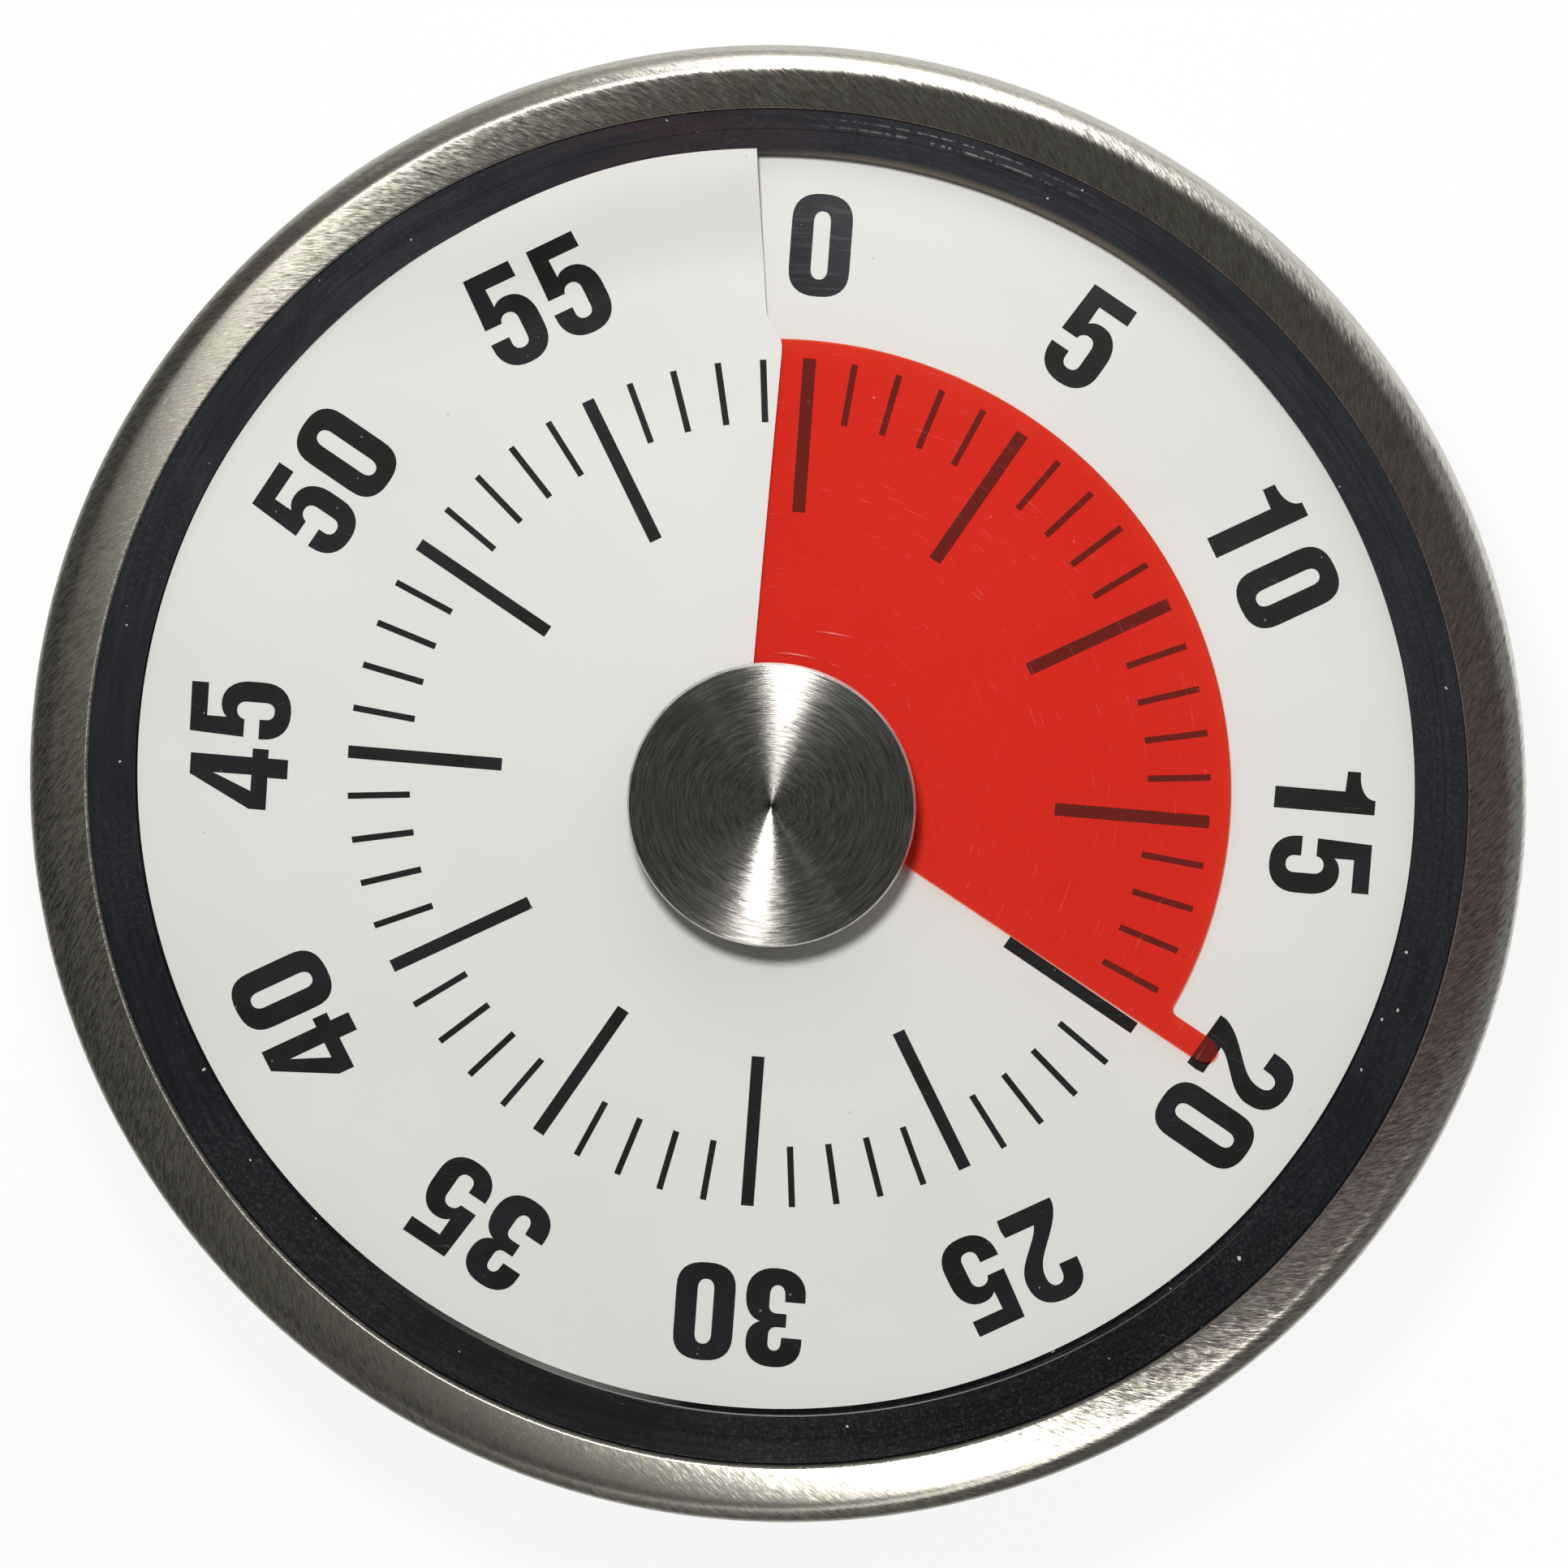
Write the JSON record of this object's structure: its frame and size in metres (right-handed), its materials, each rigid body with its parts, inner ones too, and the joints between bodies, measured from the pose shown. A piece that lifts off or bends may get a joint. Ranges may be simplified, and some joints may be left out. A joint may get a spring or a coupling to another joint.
{
  "type": "kitchen timer",
  "caption": "Round mechanical kitchen timer with a steel case, white minute dial, red film sector turned by a spun knob, spring movement and bell, and a magnet in the back.",
  "frame": {"origin": "centre of the flat back, on the face of the magnet", "axes": "+Z out of the dial along the knob's axis, +Y from the centre towards the 0 mark, +X towards the 15 mark"},
  "size_m": [0.0784, 0.0784, 0.028],
  "materials": {
    "brushed_case_steel": "diagonally brushed stainless steel",
    "spun_knob_steel": "spun stainless steel with fine concentric lines",
    "plated_sheet_steel": "zinc plated sheet steel",
    "screw_steel": "zinc plated steel",
    "spring_steel": "hardened steel, slightly blue",
    "brass": "satin brass",
    "black_gloss_ring": "polished black plastic",
    "black_moulding": "fine moulded texture",
    "white_dial_sheet": "printed white sheet",
    "red_film": "clear red film",
    "white_nylon": "moulded nylon",
    "ferrite": "ground ferrite"
  },
  "bodies": {
    "case_body": {"case_shell": "brushed_case_steel", "rim_ring": "black_gloss_ring", "dial_plate": "white_dial_sheet", "chassis": "black_moulding", "back_cover": "black_moulding", "magnet_disc": "ferrite", "cover_screw_1": "screw_steel", "cover_screw_2": "screw_steel", "cover_screw_3": "screw_steel", "bell": "plated_sheet_steel", "bell_screw": "screw_steel", "back_plate": "plated_sheet_steel", "front_plate": "plated_sheet_steel", "pillar_1": "brass", "pillar_2": "brass", "pillar_3": "brass", "pillar_4": "brass", "plate_screw_1": "screw_steel", "plate_screw_2": "screw_steel", "plate_screw_3": "screw_steel", "plate_screw_4": "screw_steel", "movement_screw_1": "screw_steel", "movement_screw_2": "screw_steel", "movement_screw_3": "screw_steel", "mainspring": "spring_steel", "spring_post": "spring_steel", "hammer_stud": "spring_steel", "hammer_spring": "spring_steel"},
    "knob_body": {"knob_cap": "spun_knob_steel", "knob_core": "black_moulding", "film_hub": "black_moulding", "red_film": "red_film", "main_arbor": "spring_steel", "ratchet_wheel": "spring_steel", "strike_cam": "brass"},
    "great_wheel_body": {"great_wheel": "brass", "click_stud": "spring_steel", "click_spring": "spring_steel"},
    "click_body": {"click_lever": "spring_steel"},
    "second_body": {"second_arbor": "spring_steel", "second_wheel": "white_nylon"},
    "third_body": {"third_arbor": "spring_steel", "third_wheel": "white_nylon"},
    "escape_body": {"escape_arbor": "spring_steel", "escape_wheel": "white_nylon"},
    "balance_body": {"balance_staff": "spring_steel", "balance_wheel": "brass", "pallet_roller": "spring_steel"},
    "hammer_body": {"hammer_lever": "spring_steel", "hammer_head": "brass"}
  },
  "joints": [
    {"name": "knob_turn", "type": "hinge", "parent": "case_body", "child": "knob_body", "pos_m": [0, 0, 0], "axis": [0, 0, -1], "range_deg": [-119.5, 210.5], "deforming": ["red_film", "mainspring"]},
    {"name": "great_wheel_turn", "type": "hinge", "parent": "case_body", "child": "great_wheel_body", "pos_m": [0, 0, 0], "axis": [0, 0, -1], "range_deg": [-119.6, 210.6]},
    {"name": "click_lift", "type": "hinge", "parent": "great_wheel_body", "child": "click_body", "pos_m": [0.0042, 0.00727, 0], "axis": [0, 0, 1], "range_deg": [0, 12], "stiffness_Nm_per_rad": 0.002, "deforming": ["click_spring"]},
    {"name": "second_wheel_turn", "type": "hinge", "parent": "case_body", "child": "second_body", "pos_m": [-0.01362, -0.00496, 0], "axis": [0, 0, -1], "range_deg": [-1685, 957]},
    {"name": "third_wheel_turn", "type": "hinge", "parent": "case_body", "child": "third_body", "pos_m": [-0.01454, 0.00536, 0], "axis": [0, 0, -1], "range_deg": [-5737, 10105]},
    {"name": "escape_wheel_turn", "type": "hinge", "parent": "case_body", "child": "escape_body", "pos_m": [-0.0101, 0.01305, 0], "axis": [0, 0, -1], "range_deg": [-50521, 28681]},
    {"name": "balance_swing", "type": "hinge", "parent": "case_body", "child": "balance_body", "pos_m": [-0.00371, 0.01659, 0], "axis": [0, 0, 1], "range_deg": [-25, 25]},
    {"name": "hammer_swing", "type": "hinge", "parent": "case_body", "child": "hammer_body", "pos_m": [0.007, -0.0121, 0], "axis": [0, 0, -1], "range_deg": [0, 8], "stiffness_Nm_per_rad": 0.002, "deforming": ["hammer_spring"]}
  ],
  "couplings": [
    {"joint": "great_wheel_turn", "follows": "knob_turn", "ratio": 1},
    {"joint": "second_wheel_turn", "follows": "knob_turn", "ratio": -8},
    {"joint": "third_wheel_turn", "follows": "knob_turn", "ratio": 48},
    {"joint": "escape_wheel_turn", "follows": "knob_turn", "ratio": -240}
  ]
}
